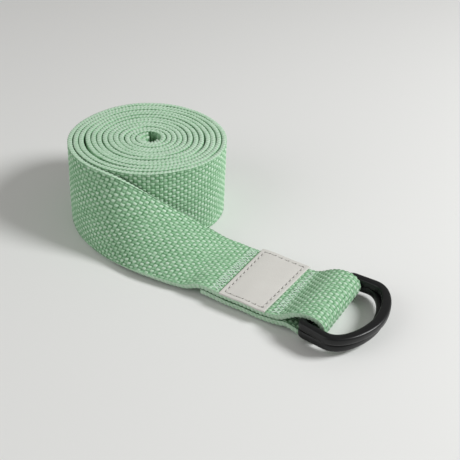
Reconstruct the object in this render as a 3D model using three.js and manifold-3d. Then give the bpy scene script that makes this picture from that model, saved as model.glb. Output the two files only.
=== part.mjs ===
// Stretching strap: one length of cotton webbing, rolled up on edge, whose tail turns a quarter
// over and lies flat, carries a sewn label, and ends in a sewn loop that holds two D-rings.
// Millimetres, +Z up, +X along the tail towards the D-rings. The origin is the middle of the
// base of the bounding box, so the strap stands on the plane z = 0.

import * as THREE from 'three';
import { mergeVertices } from 'three/addons/utils/BufferGeometryUtils.js';
import Module from 'manifold-3d';

const wasm = await Module();
wasm.setup();

// ---------------------------------------------------------------- driving dimensions

const WEB_WIDTH = 38;             // webbing, selvedge to selvedge
const WEB_THICK = 2.4;
const GAP = 0.3;                  // clearance between pieces that touch
const PLY_RISE = WEB_THICK + GAP; // one ply lying on another

const ROLL_RADIUS = 38.25;        // outside of the rolled part
const ROLL_SLACK = 0.22;          // room between one turn and the next
const ROLL_PITCH = WEB_THICK + ROLL_SLACK;
const CORE_HOLE = 1.055;          // from the roll's axis to the doubled end's inner face
const CORE_RADIUS = CORE_HOLE + WEB_THICK / 2 + PLY_RISE;
const ROLL_TURNS = (ROLL_RADIUS - WEB_THICK / 2 - CORE_RADIUS) / ROLL_PITCH;
const LEAVE_ANGLE = 215;          // degrees, where the outer turn leaves the roll
const STEPS_PER_TURN = 30;

const HEM_SPAN = 140;             // degrees of the first turn that are doubled by the hem

const LABEL_ALONG = 22.7;
const LABEL_OVERHANG = 0.95;      // past the webbing on each side
const LABEL_ACROSS = WEB_WIDTH + 2 * LABEL_OVERHANG;
const LABEL_THICK = 1.0;
const LABEL_CORNER = 0.8;
const LABEL_SEAM_INSET = 2.1;     // stitching line, in from the label's edge
const LABEL_SEAM_WIDTH = 0.7;
const LABEL_SEAM_HEIGHT = 0.5;

const THREAD_RADIUS = 0.35;
const SEAM_MARGIN = 1.5;          // from a seam's end to the selvedge
const SEAM_LENGTH = WEB_WIDTH - 2 * SEAM_MARGIN;
const TACK_SWING = 2.1;           // half of the zigzag's width, at the loop's seam
const FOLD_SEAM_SWING = 2.2;
const HEM_SEAM_SWING = 0.3;
const ZIGZAG_PITCH = 3.5;         // one full zigzag

// Places along the tail, from the roll's axis. Each one follows from the one before it.
// The wider the webbing, the longer it takes to turn over and the further out it swings.
const FOLD_END_X = ROLL_RADIUS + 0.6513 * WEB_WIDTH;   // cut end of the ply folded underneath
const RUN_OFF_END = FOLD_END_X + 4;       // where the tail lies flat on that ply
const FOLD_SEAM_X = RUN_OFF_END + FOLD_SEAM_SWING + 0.8;
const PANEL_START = FOLD_SEAM_X + 2;      // sewn two-ply panel
const LABEL_X = FOLD_SEAM_X + FOLD_SEAM_SWING + 1.45 + LABEL_ALONG / 2;
const TACK_X = LABEL_X + LABEL_ALONG / 2 + 1.85 + TACK_SWING;
const PANEL_END = TACK_X + TACK_SWING + 0.6;
const LOWER_BAR_X = PANEL_END + 11;
const UPPER_BAR_X = LOWER_BAR_X + 1.6;
const NOSE_X = UPPER_BAR_X + 3.8;         // centre of the loop's rounded nose

const PANEL_LIFT = 3;             // rise of the panel from its start to its end
const TAIL_OUT = 0.2934 * WEB_WIDTH;   // from the roll's side to the flat tail's lower edge
const TAIL_Y = WEB_WIDTH / 2 - ROLL_RADIUS - TAIL_OUT;

const RING_THICK = 3.8;           // height of a D-ring lying flat
const RING_REACH = 28.8;          // bar side to bow
const RING_BOW_WIDTH = 4.6;
const RING_ARM_WIDTH = 4;         // at the shoulder
const RING_FOOT_WIDTH = 3.5;      // at the bar
const RING_INNER_HALF_BOW = WEB_WIDTH / 2 + 1;
const RING_INNER_HALF_BAR = WEB_WIDTH / 2 + 0.5;
const RING_HALF_BOW = RING_INNER_HALF_BOW + RING_ARM_WIDTH;
const RING_HALF_BAR = RING_INNER_HALF_BAR + RING_FOOT_WIDTH;
const RING_BOW_ROUND = 14.8;      // length of the bow's rounded part
const RING_SHOULDER = RING_REACH - RING_BOW_ROUND;
const RING_EDGE = 1.2;            // rounding of the ring's edges
const BAR_RADIUS = 1.5;
const BAR_INSET = 1.9;            // bar axis, in from the ring's straight side
const LOOP_GROUND_GAP = 0.3;      // under the loop, where it goes round the bars
const LOWER_BAR_Z = LOOP_GROUND_GAP + WEB_THICK + GAP + BAR_RADIUS;
const UPPER_BAR_Z = LOWER_BAR_Z + RING_THICK + GAP;
const UPPER_RING_YAW = -5;        // degrees, the upper ring lies slightly askew

const LOOP_HALF_WIDTH = WEB_WIDTH / 2 - 0.5;   // pinched between the ring's sides

// ---------------------------------------------------------------- materials

function material(name, colour, roughness) {
  return new THREE.MeshStandardMaterial({ name, color: colour, roughness, metalness: 0 });
}

const webbingMaterial = material('webbing', 0x8fb79a, 0.95);
const labelMaterial = material('label', 0xd2d0cb, 0.7);
const labelThreadMaterial = material('label_thread', 0xe9e7e2, 0.8);
const seamThreadMaterial = material('seam_thread', 0xa9cdb2, 0.85);
const ringMaterial = material('ring', 0x25282b, 0.5);

// ---------------------------------------------------------------- shape helpers

const radians = THREE.MathUtils.degToRad;

function piece(name, geometry, meshMaterial) {
  const mesh = new THREE.Mesh(geometry, meshMaterial);
  mesh.name = name;
  return mesh;
}

function weld(geometry) {
  geometry.deleteAttribute('normal');
  geometry.deleteAttribute('uv');
  const welded = mergeVertices(geometry, 1e-4);
  welded.computeVertexNormals();
  return welded;
}

function toSolid(geometry) {
  const welded = weld(geometry);
  return new wasm.Manifold(new wasm.Mesh({
    numProp: 3,
    vertProperties: new Float32Array(welded.attributes.position.array),
    triVerts: new Uint32Array(welded.index.array),
  }));
}

function fromSolid(solid) {
  const mesh = solid.getMesh();
  const geometry = new THREE.BufferGeometry();
  geometry.setAttribute('position', new THREE.BufferAttribute(mesh.vertProperties, 3));
  geometry.setIndex(new THREE.BufferAttribute(mesh.triVerts, 1));
  geometry.computeVertexNormals();
  return geometry;
}

// A strip of webbing: a flat box bent between a lower and an upper edge. Both edges are
// functions of t from 0 to 1, and belly(t) lifts the middle of the strip off the straight
// line between them. A positive belly is to the right of travel on a strip that stands on edge.
function strip(lower, upper, steps, across, belly = () => 0) {
  const geometry = new THREE.BoxGeometry(1, 1, 1, steps, across, 1);
  const position = geometry.attributes.position;
  const tangent = (edge, t) => {
    const before = edge(Math.max(t - 0.5 / steps, 0));
    return edge(Math.min(t + 0.5 / steps, 1)).sub(before).normalize();
  };
  for (let i = 0; i < position.count; i += 1) {
    const t = position.getX(i) + 0.5;
    const v = position.getY(i) + 0.5;
    const lowerPoint = lower(t);
    const upperPoint = upper(t);
    const along = tangent(lower, t).lerp(tangent(upper, t), v);
    const width = upperPoint.clone().sub(lowerPoint);
    const normal = along.cross(width).normalize();
    const lift = belly(t) * 4 * v * (1 - v) + position.getZ(i) * WEB_THICK;
    const point = lowerPoint.lerp(upperPoint, v).addScaledVector(normal, lift);
    position.setXYZ(i, point.x, point.y, point.z);
  }
  return weld(geometry);
}

function spiralEdge(startAngle, endAngle, radiusAt, height) {
  return (t) => {
    const angle = THREE.MathUtils.lerp(startAngle, endAngle, t);
    const radius = radiusAt(angle);
    return new THREE.Vector3(
      radius * Math.cos(radians(angle)), radius * Math.sin(radians(angle)), height,
    );
  };
}

// A tube of thread that swings from side to side along +Y, in the plane z = 0.
function zigzagThread(length, swing, pitch) {
  const points = [];
  const stepsPerPitch = 6;
  const count = Math.round(length / pitch) * stepsPerPitch;
  for (let i = 0; i <= count; i += 1) {
    const turn = (2 * Math.PI * i) / stepsPerPitch;
    points.push(new THREE.Vector3(swing * Math.sin(turn), length * (i / count - 0.5), 0));
  }
  const section = new THREE.Shape();
  section.absarc(0, 0, THREAD_RADIUS, 0, 2 * Math.PI);
  return weld(new THREE.ExtrudeGeometry(section, {
    steps: count,
    curveSegments: 3,
    extrudePath: new THREE.CatmullRomCurve3(points),
  }));
}

// ---------------------------------------------------------------- webbing: the roll

const outerRadius = ROLL_RADIUS - WEB_THICK / 2;
const rollStart = LEAVE_ANGLE - ROLL_TURNS * 360;
const turnRadius = (angle) => outerRadius - (ROLL_PITCH * (LEAVE_ANGLE - angle)) / 360;

function rollStrip() {
  const edge = (height) => spiralEdge(rollStart, LEAVE_ANGLE, turnRadius, height);
  return strip(edge(0), edge(WEB_WIDTH), Math.round(ROLL_TURNS * STEPS_PER_TURN), 1);
}

function hemStrip() {
  const hemRadius = (angle) => turnRadius(angle) - PLY_RISE;
  const edge = (height) => spiralEdge(rollStart, rollStart + HEM_SPAN, hemRadius, height);
  return strip(edge(0), edge(WEB_WIDTH), 10, 1);
}

// ---------------------------------------------------------------- webbing: the tail

const TAIL_LOWER_Y = TAIL_Y - WEB_WIDTH / 2;
const TAIL_UPPER_Y = TAIL_Y + WEB_WIDTH / 2;
const FLOOR_PLY_Z = WEB_THICK / 2;
const TOP_PLY_Z = FLOOR_PLY_Z + PLY_RISE;

// The tail between the roll and the panel: the lower edge stays on the ground and swings
// out, while the upper edge leans back and comes down, until the strip lies on its back.
// The first stretch still goes round the roll, with its upper edge level with the roll's.
const FLARE_START = LEAVE_ANGLE + 1.5;
const FLARE_END = 266;
const FLARE_STEP = 10.1;
const FLARE_REACH = 0.2 * WEB_WIDTH;   // how far the lower edge is out from the roll by then
const FLARE_SLACK = 0.15;         // the last turn lies this much looser than the others

function flareStations(reach, startHeight, rise) {
  const stations = [];
  for (let angle = FLARE_START; angle <= FLARE_END + 1; angle += FLARE_STEP) {
    const share = (angle - FLARE_START) / (FLARE_END - FLARE_START);
    const radius = outerRadius + FLARE_SLACK + reach * share ** 2;
    stations.push([
      radius * Math.cos(radians(angle)),
      radius * Math.sin(radians(angle)),
      startHeight + rise * share ** 2,
    ]);
  }
  return stations;
}

// After the flare: the lower edge's x as a share of the way to the folded end, how far it is
// out from the roll's side as a share of the width, its height as a share of the thickness,
// and the way across to the upper edge as shares of the width.
const LEAN_STATIONS = [
  { along: 0.0714, out: 0.2513, height: 0.3125, across: [0.2026, 0.3053, 0.925] },
  { along: 0.2937, out: 0.3618, height: 0.4167, across: [0.1579, 0.6079, 0.6947] },
  { along: 0.5, out: 0.3987, height: 0.4792, across: [0.0868, 0.8316, 0.4671] },
  { along: 0.7746, out: 0.3671, height: 0.5417, across: [0, 0.9605, 0.2395] },
  { along: 0.8889, out: 0.3329, height: 0.5417, across: [-0.0079, 0.9763, 0.1553] },
  { along: 0.9444, out: 0.3171, height: 1.0625, across: [-0.0079, 0.9842, 0.0961] },
];

function leanLower({ along, out, height }) {
  return [along * FOLD_END_X, -ROLL_RADIUS - out * WEB_WIDTH, height * WEB_THICK];
}

function leanUpper(station) {
  return leanLower(station).map((value, axis) => value + station.across[axis] * WEB_WIDTH);
}

const RUN_OFF_LOWER = [
  ...flareStations(FLARE_REACH, 0.05, 0.45),
  ...LEAN_STATIONS.map(leanLower),
  [FOLD_END_X, TAIL_LOWER_Y - 0.4, TOP_PLY_Z],
  [RUN_OFF_END, TAIL_LOWER_Y, TOP_PLY_Z],
];
const RUN_OFF_UPPER = [
  ...flareStations(0, WEB_WIDTH, -0.2),
  ...LEAN_STATIONS.map(leanUpper),
  [FOLD_END_X, TAIL_UPPER_Y - 0.6, TOP_PLY_Z + WEB_THICK / 2],
  [RUN_OFF_END, TAIL_UPPER_Y, TOP_PLY_Z],
];
const RUN_OFF_BELLY = 3;

function edgeThrough(points) {
  const curve = new THREE.CatmullRomCurve3(points.map((p) => new THREE.Vector3(...p)));
  return (t) => curve.getPoint(t);
}

function runOffStrip() {
  const belly = (t) => RUN_OFF_BELLY * Math.sin(Math.PI * t) ** 2;
  return strip(edgeThrough(RUN_OFF_LOWER), edgeThrough(RUN_OFF_UPPER), 42, 8, belly);
}

// Flat plies: the same profile [x, z] for both edges, at a half width from the middle line.
// The profile runs away from the roll on the top ply and back towards it underneath.
function profileEdge(profile, halfWidth, side) {
  const curve = new THREE.CatmullRomCurve3(
    profile.map(([x, z]) => new THREE.Vector3(x, TAIL_Y, z)),
  );
  return (t) => curve.getPoint(t).setY(TAIL_Y + side * halfWidth(t));
}

const panelSlope = PANEL_LIFT / (PANEL_END - PANEL_START);
const panelZ = (x) => TOP_PLY_Z + (x - PANEL_START) * panelSlope;
const fullWidth = () => WEB_WIDTH / 2;

function topPlyStrip() {
  const path = new THREE.CurvePath();
  const joinX = RUN_OFF_END + 2 * GAP;
  path.add(new THREE.LineCurve3(
    new THREE.Vector3(joinX, 0, TOP_PLY_Z), new THREE.Vector3(PANEL_START, 0, TOP_PLY_Z),
  ));
  path.add(new THREE.LineCurve3(
    new THREE.Vector3(PANEL_START, 0, TOP_PLY_Z),
    new THREE.Vector3(PANEL_END, 0, panelZ(PANEL_END)),
  ));
  const edge = (y) => (t) => path.getPoint(t).setY(y);
  return strip(edge(TAIL_LOWER_Y), edge(TAIL_UPPER_Y), 12, 2);
}

// The loop is high enough for the upper bar, even its forward end, to travel round the
// lower one when the lower ring lifts.
const barLead = UPPER_BAR_X - LOWER_BAR_X - Math.sin(radians(UPPER_RING_YAW)) * LOOP_HALF_WIDTH;
const barTravel = Math.hypot(barLead, UPPER_BAR_Z - LOWER_BAR_Z);
const upperPlyOverBars = LOWER_BAR_Z + barTravel + BAR_RADIUS + GAP + WEB_THICK / 2;
const lowerPlyUnderBars = LOWER_BAR_Z - BAR_RADIUS - GAP - WEB_THICK / 2;
const NOSE_RADIUS = (upperPlyOverBars - lowerPlyUnderBars) / 2;
const noseZ = (upperPlyOverBars + lowerPlyUnderBars) / 2;

function nosePoint(degrees) {
  return [
    NOSE_X + NOSE_RADIUS * Math.cos(radians(degrees)),
    noseZ + NOSE_RADIUS * Math.sin(radians(degrees)),
  ];
}

const underPlyZ = (x) => panelZ(x) - PLY_RISE - 0.15;
const loopStartX = PANEL_END + 2 * GAP;
const loopRunX = loopStartX + 1.6;
const LOOP_PROFILE = [
  [loopStartX, panelZ(loopStartX)],
  [loopRunX, panelZ(loopRunX)],
  [LOWER_BAR_X - 7.2, upperPlyOverBars - PLY_RISE],
  [LOWER_BAR_X - 4.2, upperPlyOverBars - 0.3],
  [LOWER_BAR_X, upperPlyOverBars],
  nosePoint(90),
  nosePoint(45),
  nosePoint(0),
  nosePoint(-45),
  nosePoint(-90),
  [LOWER_BAR_X - 0.5, lowerPlyUnderBars],
  [LOWER_BAR_X - 5, lowerPlyUnderBars + 1.1],
  [loopRunX, underPlyZ(loopRunX)],
  [loopStartX, underPlyZ(loopStartX)],
];

function loopStrip() {
  const halfWidth = (t) => {
    const pinch = THREE.MathUtils.smoothstep(0.5 - Math.abs(t - 0.5), 0, 0.2);
    return THREE.MathUtils.lerp(WEB_WIDTH / 2, LOOP_HALF_WIDTH, pinch);
  };
  return strip(
    profileEdge(LOOP_PROFILE, halfWidth, -1), profileEdge(LOOP_PROFILE, halfWidth, 1), 44, 2,
  );
}

function underPlyStrip() {
  const profile = [
    [PANEL_END, underPlyZ(PANEL_END)],
    [TACK_X, underPlyZ(TACK_X)],
    [LABEL_X, underPlyZ(LABEL_X)],
    [PANEL_START + 3, underPlyZ(PANEL_START + 3)],
    [FOLD_END_X, FLOOR_PLY_Z],
  ];
  return strip(profileEdge(profile, fullWidth, -1), profileEdge(profile, fullWidth, 1), 12, 2);
}

// ---------------------------------------------------------------- label and seams

function roundedRectangle(path, width, height, corner) {
  const x = width / 2;
  const y = height / 2;
  path.moveTo(-x + corner, -y);
  path.lineTo(x - corner, -y);
  path.absarc(x - corner, -y + corner, corner, -Math.PI / 2, 0);
  path.lineTo(x, y - corner);
  path.absarc(x - corner, y - corner, corner, 0, Math.PI / 2);
  path.lineTo(-x + corner, y);
  path.absarc(-x + corner, y - corner, corner, Math.PI / 2, Math.PI);
  path.lineTo(-x, -y + corner);
  path.absarc(-x + corner, -y + corner, corner, Math.PI, 1.5 * Math.PI);
  return path;
}

function labelGeometry() {
  const outline = roundedRectangle(new THREE.Shape(), LABEL_ALONG, LABEL_ACROSS, LABEL_CORNER);
  return weld(new THREE.ExtrudeGeometry(outline, {
    depth: LABEL_THICK, bevelEnabled: false, curveSegments: 4,
  }));
}

function labelSeamGeometry() {
  const along = LABEL_ALONG - 2 * LABEL_SEAM_INSET;
  const across = LABEL_ACROSS - 2 * LABEL_SEAM_INSET;
  const corner = LABEL_SEAM_WIDTH;
  const outline = roundedRectangle(
    new THREE.Shape(), along + LABEL_SEAM_WIDTH, across + LABEL_SEAM_WIDTH, corner,
  );
  outline.holes.push(roundedRectangle(
    new THREE.Path(), along - LABEL_SEAM_WIDTH, across - LABEL_SEAM_WIDTH, corner / 2,
  ));
  return weld(new THREE.ExtrudeGeometry(outline, {
    depth: LABEL_SEAM_HEIGHT, bevelEnabled: false, curveSegments: 3,
  }));
}

// Everything on the sloping panel lies in a group turned to the panel's slope, with its
// origin on the top face of the webbing at the panel's start.
function panelGroup() {
  const panel = new THREE.Group();
  panel.position.set(PANEL_START, TAIL_Y, TOP_PLY_Z);
  panel.rotation.y = -Math.atan(panelSlope);
  const topFace = WEB_THICK / 2;

  const label = piece('label_patch', labelGeometry(), labelMaterial);
  label.position.set(LABEL_X - PANEL_START, 0, topFace + GAP);

  const labelSeam = piece('label_stitching', labelSeamGeometry(), labelThreadMaterial);
  labelSeam.position.copy(label.position);
  labelSeam.position.z += LABEL_THICK + GAP;

  const tackLength = zigzagThread(SEAM_LENGTH, TACK_SWING, ZIGZAG_PITCH);
  const tack = piece('loop_seam_thread', tackLength, seamThreadMaterial);
  tack.position.set(TACK_X - PANEL_START, 0, topFace + GAP + THREAD_RADIUS);

  panel.add(label, labelSeam, tack);
  return panel;
}

function foldSeam() {
  const thread = zigzagThread(SEAM_LENGTH, FOLD_SEAM_SWING, ZIGZAG_PITCH);
  const seam = piece('fold_end_seam_thread', thread, seamThreadMaterial);
  const clear = WEB_THICK / 2 + 2 * GAP + THREAD_RADIUS;
  seam.position.set(FOLD_SEAM_X, TAIL_Y, TOP_PLY_Z + clear);
  return seam;
}

function hemSeam() {
  const thread = zigzagThread(SEAM_LENGTH, HEM_SEAM_SWING, ZIGZAG_PITCH);
  const seam = piece('hem_seam_thread', thread, seamThreadMaterial);
  const middle = rollStart + HEM_SPAN / 2;
  const inner = turnRadius(middle) - PLY_RISE - WEB_THICK / 2 - 2 * GAP - THREAD_RADIUS;
  seam.position.set(
    inner * Math.cos(radians(middle)), inner * Math.sin(radians(middle)), WEB_WIDTH / 2,
  );
  seam.rotation.set(Math.PI / 2, 0, radians(middle + 90), 'ZXY');
  return seam;
}

// ---------------------------------------------------------------- D-rings

// Plan of the bow, without its bar: two arms that end beside the bar, joined by the bow.
// The ring's own frame has the bar's axis on Y through the origin, and the bow towards +X.
function bowShape() {
  const left = -BAR_INSET;
  const right = left + RING_REACH;
  const shoulder = left + RING_SHOULDER;
  const innerRight = right - RING_BOW_WIDTH;
  const endRadius = (RING_HALF_BAR - RING_INNER_HALF_BAR) / 2;
  const endY = (RING_HALF_BAR + RING_INNER_HALF_BAR) / 2;
  const endX = left + endRadius;
  const shape = new THREE.Shape();
  shape.moveTo(endX, -RING_HALF_BAR);
  shape.lineTo(shoulder, -RING_HALF_BOW);
  bowCurve(shape, shoulder, right, RING_HALF_BOW, 1);
  shape.lineTo(endX, RING_HALF_BAR);
  shape.absarc(endX, endY, endRadius, Math.PI / 2, 1.5 * Math.PI);
  shape.lineTo(shoulder, RING_INNER_HALF_BOW);
  bowCurve(shape, shoulder, innerRight, RING_INNER_HALF_BOW, -1);
  shape.lineTo(endX, -RING_INNER_HALF_BAR);
  shape.absarc(endX, -endY, endRadius, Math.PI / 2, 1.5 * Math.PI);
  return shape;
}

// The bow's round: from one side (-turn) over the far end to the other side (+turn).
function bowCurve(shape, shoulder, right, halfWidth, turn) {
  const fullness = 0.62;
  const controlX = shoulder + fullness * (right - shoulder);
  const controlY = turn * (1 - fullness) * halfWidth;
  const y = turn * halfWidth;
  shape.bezierCurveTo(controlX, -y, right, -controlY, right, 0);
  shape.bezierCurveTo(right, controlY, controlX, y, shoulder, y);
}

function ringGeometry() {
  const bow = new THREE.ExtrudeGeometry(bowShape(), {
    depth: RING_THICK - 2 * RING_EDGE,
    bevelThickness: RING_EDGE,
    bevelSize: RING_EDGE,
    bevelOffset: -RING_EDGE,
    bevelSegments: 3,
    curveSegments: 9,
  });
  bow.translate(0, 0, RING_EDGE - RING_THICK / 2);
  const barLength = 2 * RING_HALF_BAR - RING_THICK / 2;
  const bar = new THREE.CylinderGeometry(BAR_RADIUS, BAR_RADIUS, barLength, 24);
  return fromSolid(toSolid(bow).add(toSolid(bar)));
}

function ring(name, barX, barZ, yaw) {
  const mesh = piece(name, ringGeometry(), ringMaterial);
  mesh.position.set(barX, TAIL_Y, barZ);
  mesh.rotation.z = radians(yaw);
  return mesh;
}

// ---------------------------------------------------------------- assembly

const strap = new THREE.Group();
strap.add(
  piece('webbing_hem', hemStrip(), webbingMaterial),
  piece('webbing_roll', rollStrip(), webbingMaterial),
  piece('webbing_run_off', runOffStrip(), webbingMaterial),
  piece('webbing_top_ply', topPlyStrip(), webbingMaterial),
  piece('webbing_ring_loop', loopStrip(), webbingMaterial),
  piece('webbing_under_ply', underPlyStrip(), webbingMaterial),
  panelGroup(),
  foldSeam(),
  hemSeam(),
  ring('lower_d_ring', LOWER_BAR_X, LOWER_BAR_Z, 0),
  ring('upper_d_ring', UPPER_BAR_X, UPPER_BAR_Z, UPPER_RING_YAW),
);

const box = new THREE.Box3().setFromObject(strap, true);
strap.position.set(-(box.min.x + box.max.x) / 2, -(box.min.y + box.max.y) / 2, -box.min.z);

export default strap;
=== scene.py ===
"""Stretching strap: woven cotton webbing rolled on edge, with a sewn label and two D-rings."""

import math

import bmesh
import bpy
import numpy as np
from bpy.props import FloatProperty, FloatVectorProperty, PointerProperty
from mathutils import Matrix, Vector


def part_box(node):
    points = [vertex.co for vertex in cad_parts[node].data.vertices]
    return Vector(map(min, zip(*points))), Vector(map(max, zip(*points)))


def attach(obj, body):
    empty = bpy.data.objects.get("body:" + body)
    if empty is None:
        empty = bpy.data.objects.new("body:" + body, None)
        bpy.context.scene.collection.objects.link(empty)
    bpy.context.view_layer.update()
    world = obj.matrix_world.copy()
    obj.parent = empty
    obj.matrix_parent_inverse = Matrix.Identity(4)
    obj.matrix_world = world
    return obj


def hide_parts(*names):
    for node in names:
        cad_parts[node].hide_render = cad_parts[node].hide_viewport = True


bl_info = {
    "name": "Stretching strap",
    "version": (1, 0, 0),
    "blender": (4, 5, 0),
    "location": "View3D > Sidebar > Strap",
    "description": "Makes a rolled webbing strap with its label, seams and D-rings",
    "category": "Add Mesh",
}

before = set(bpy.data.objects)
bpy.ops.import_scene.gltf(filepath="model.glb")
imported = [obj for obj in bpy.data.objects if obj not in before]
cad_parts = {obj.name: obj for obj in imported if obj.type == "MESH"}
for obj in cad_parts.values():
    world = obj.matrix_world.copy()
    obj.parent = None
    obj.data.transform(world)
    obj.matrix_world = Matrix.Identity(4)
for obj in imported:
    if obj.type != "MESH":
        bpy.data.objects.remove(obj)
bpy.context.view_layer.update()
MM = 0.001

# ------------------------------------------------------------------ places, in millimetres
# Everything up to the finished mesh is in millimetres from the roll's axis, with +X along
# the tail towards the rings and z = 0 on the ground.

WEB_WIDTH = 38.0
WEB_THICK = 2.4
GAP = 0.3
PLY_RISE = WEB_THICK + GAP

ROLL_RADIUS = 38.25
ROLL_PITCH = 2.62
ROLL_TURNS = 12.25
LEAVE_ANGLE = 215.0
ROLL_START = LEAVE_ANGLE - 360 * ROLL_TURNS
OUTER_RADIUS = ROLL_RADIUS - WEB_THICK / 2
OUTER_TURN_START = LEAVE_ANGLE - 368
HEM_SPAN = 288.0
HEM_RECESS = 0.9              # how far the hem's end lies below the roll's top
HEM_TIGHT = 0.2
HEM_STITCHES = 12
HEM_STITCH_PITCH = 2.9
HEM_FIRST_STITCH = 3
HEM_STITCH = (1.9, 0.25, 0.2)   # length, half width, half height
STITCH_SET = 0.1              # how far a stitch sinks into the webbing's face

TAIL_Y = -30.4
FOLD_END_X = 63.0
RUN_OFF_END = 67.0
FOLD_SEAM_X = 70.0
PANEL_START = 72.0
PANEL_END = 103.0
PANEL_LIFT = 3.0
LABEL_X = 85.0
TACK_X = 100.3

RING_THICK = 3.8
BAR_RADIUS = 1.5
BAR_INSET = 1.9
LOWER_BAR = (114.0, 4.5)
UPPER_BAR = (115.6, LOWER_BAR[1] + RING_THICK + GAP)
UPPER_RING_YAW = math.radians(-5)
NOSE_X = 117.8
PINCH = 0.5

TOP_PLY_Z = WEB_THICK / 2 + PLY_RISE
PANEL_SLOPE = PANEL_LIFT / (PANEL_END - PANEL_START)

_low, _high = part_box("webbing_top_ply")
ORIGIN = np.array([
    _low.x / MM - RUN_OFF_END - 2 * GAP,
    (_low.y + _high.y) / 2 / MM - TAIL_Y,
    _low.z / MM - TOP_PLY_Z + WEB_THICK / 2,
])

# ------------------------------------------------------------------ curves shared by many places


def smooth_step(x, low, high):
    """0 below low, 1 above high, and a smooth rise in between."""
    t = np.clip((x - low) / (high - low), 0, 1)
    return t * t * (3 - 2 * t)


def wander(x, seed):
    """A slow wave without a visible repeat, about -1 to 1."""
    return (
        np.sin(x + seed) + 0.6 * np.sin(1.73 * x + 2.3 * seed) + 0.4 * np.sin(3.1 * x + 4.1 * seed)
    ) / 2


def hump(x, height, rise, fall):
    """Up between the two places in rise, and down again between those in fall."""
    return height * smooth_step(x, *rise) * (1 - smooth_step(x, *fall))


# ------------------------------------------------------------------ heights of the tail

UNDER_PLY_SLACK = 0.15


def panel_z(x):
    """Middle of the upper ply where it is sewn down."""
    return TOP_PLY_Z + (x - PANEL_START) * PANEL_SLOPE


def under_ply_z(x):
    """Middle of the ply that is folded back underneath."""
    return panel_z(x) - PLY_RISE - UNDER_PLY_SLACK


def far_side_dip(x):
    """The tail's far selvedge stands high where it leaves the turn, and hangs by the label."""
    return hump(x, 0.9, (58, 68), (74, 88)) - hump(x, 1.7, (80, 98), (102, 114))


def near_side_lift(x):
    """The tail's near selvedge stands off the floor behind the label and sags beside it."""
    return hump(x, 1.6, (0, 40), (64, 84)) - hump(x, 1.6, (82, 96), (100, 110))


# ------------------------------------------------------------------ the webbing's course


def turn_radius(angle):
    """Radius of the even spiral, to the middle of the webbing's thickness."""
    return OUTER_RADIUS - ROLL_PITCH * (LEAVE_ANGLE - angle) / 360


# Gaps between turns: [first, last] place round the roll, the turn angle under which the
# turns have moved in, and by how much.
GROOVES = (
    (205, 350, -601, 1.2),
    (0, 165, -1180, 0.6),
    (200, 330, -1650, 0.5),
    (-40, 75, -1980, 0.5),
    (60, 220, -2700, 0.4),
)
GROOVE_FLAT = 1.5             # above 1, a groove keeps its full depth over its middle
CORE_SHIFT = 1.5              # from the outer turn's middle to the core
CORE_SHIFT_WAY = (0.873, 0.488)
BULGE = 2.6                   # how much fuller the roll is round BULGE_MIDDLE, in degrees
BULGE_MIDDLE = 72.0
BULGE_SPREAD = 0.3
TAUT = (20, 120)              # degrees back from where the tail leaves, until turns lie loose
STRAY = 0.09                  # how far a turn strays from the even spiral
SELVEDGE_WAVE = 0.25          # how far a selvedge rises and falls round a turn
TURN_WAVE = 0.2               # and from one turn to the next


def roll_edge(angle, height, inset=0.0):
    """A selvedge of the rolled part, at these angles in degrees."""
    radius = turn_radius(angle)
    share = radius / OUTER_RADIUS
    loose = smooth_step(LEAVE_ANGLE - angle, *TAUT)
    radius = radius + STRAY * wander(np.radians(angle) * 1.31, 0.7) * loose
    for first, last, below, depth in GROOVES:
        place = (angle - first) % 360 + first
        window = np.clip((place - first) / (last - first), 0, 1)
        shape = np.minimum(1, GROOVE_FLAT * np.sin(np.pi * window))
        shape = np.where(place <= last, shape, 0)
        radius = radius - depth * shape * share * (angle < below)
    bulge = np.clip(np.cos(np.radians(angle - BULGE_MIDDLE)) + BULGE_SPREAD, 0, 1)
    radius = radius + BULGE * share * smooth_step(bulge, 0, 1) - inset
    shift = CORE_SHIFT * (1 - share)
    rad = np.radians(angle)
    lift = SELVEDGE_WAVE * (1 + wander(rad * 0.83, 2.1)) * loose
    lift = lift + TURN_WAVE * (1 + wander(angle / 360 * 2.7, 5.2)) * loose
    return np.stack([
        radius * np.cos(rad) + shift * CORE_SHIFT_WAY[0],
        radius * np.sin(rad) + shift * CORE_SHIFT_WAY[1],
        height + lift,
    ], axis=1)


def curve_through(points, count):
    """A smooth centripetal curve through the points, as count points."""
    p = np.array(points, float)
    p = np.vstack([2 * p[0] - p[1], p, 2 * p[-1] - p[-2]])
    made = []
    for t in np.linspace(0, len(points) - 1, count):
        k = min(int(t), len(points) - 2)
        w = t - k
        p0, p1, p2, p3 = p[k : k + 4]
        d0, d1, d2 = (
            max(np.linalg.norm(b - a), 1e-6) ** 0.5 for a, b in ((p0, p1), (p1, p2), (p2, p3))
        )
        t1 = ((p1 - p0) / d0 - (p2 - p0) / (d0 + d1) + (p2 - p1) / d1) * d1
        t2 = ((p2 - p1) / d1 - (p3 - p1) / (d1 + d2) + (p3 - p2) / d2) * d1
        c2 = -3 * p1 + 3 * p2 - 2 * t1 - t2
        c3 = 2 * p1 - 2 * p2 + t1 + t2
        made.append(p1 + t1 * w + c2 * w * w + c3 * w ** 3)
    return np.array(made)


FLARE_START = LEAVE_ANGLE + 1.5
FLARE_END = 266.0
FLARE_STEP = 10.1
FLARE_REACH = 0.2 * WEB_WIDTH
FLARE_SLACK = 0.15
RUN_OFF_BELLY = 3.0

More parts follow.
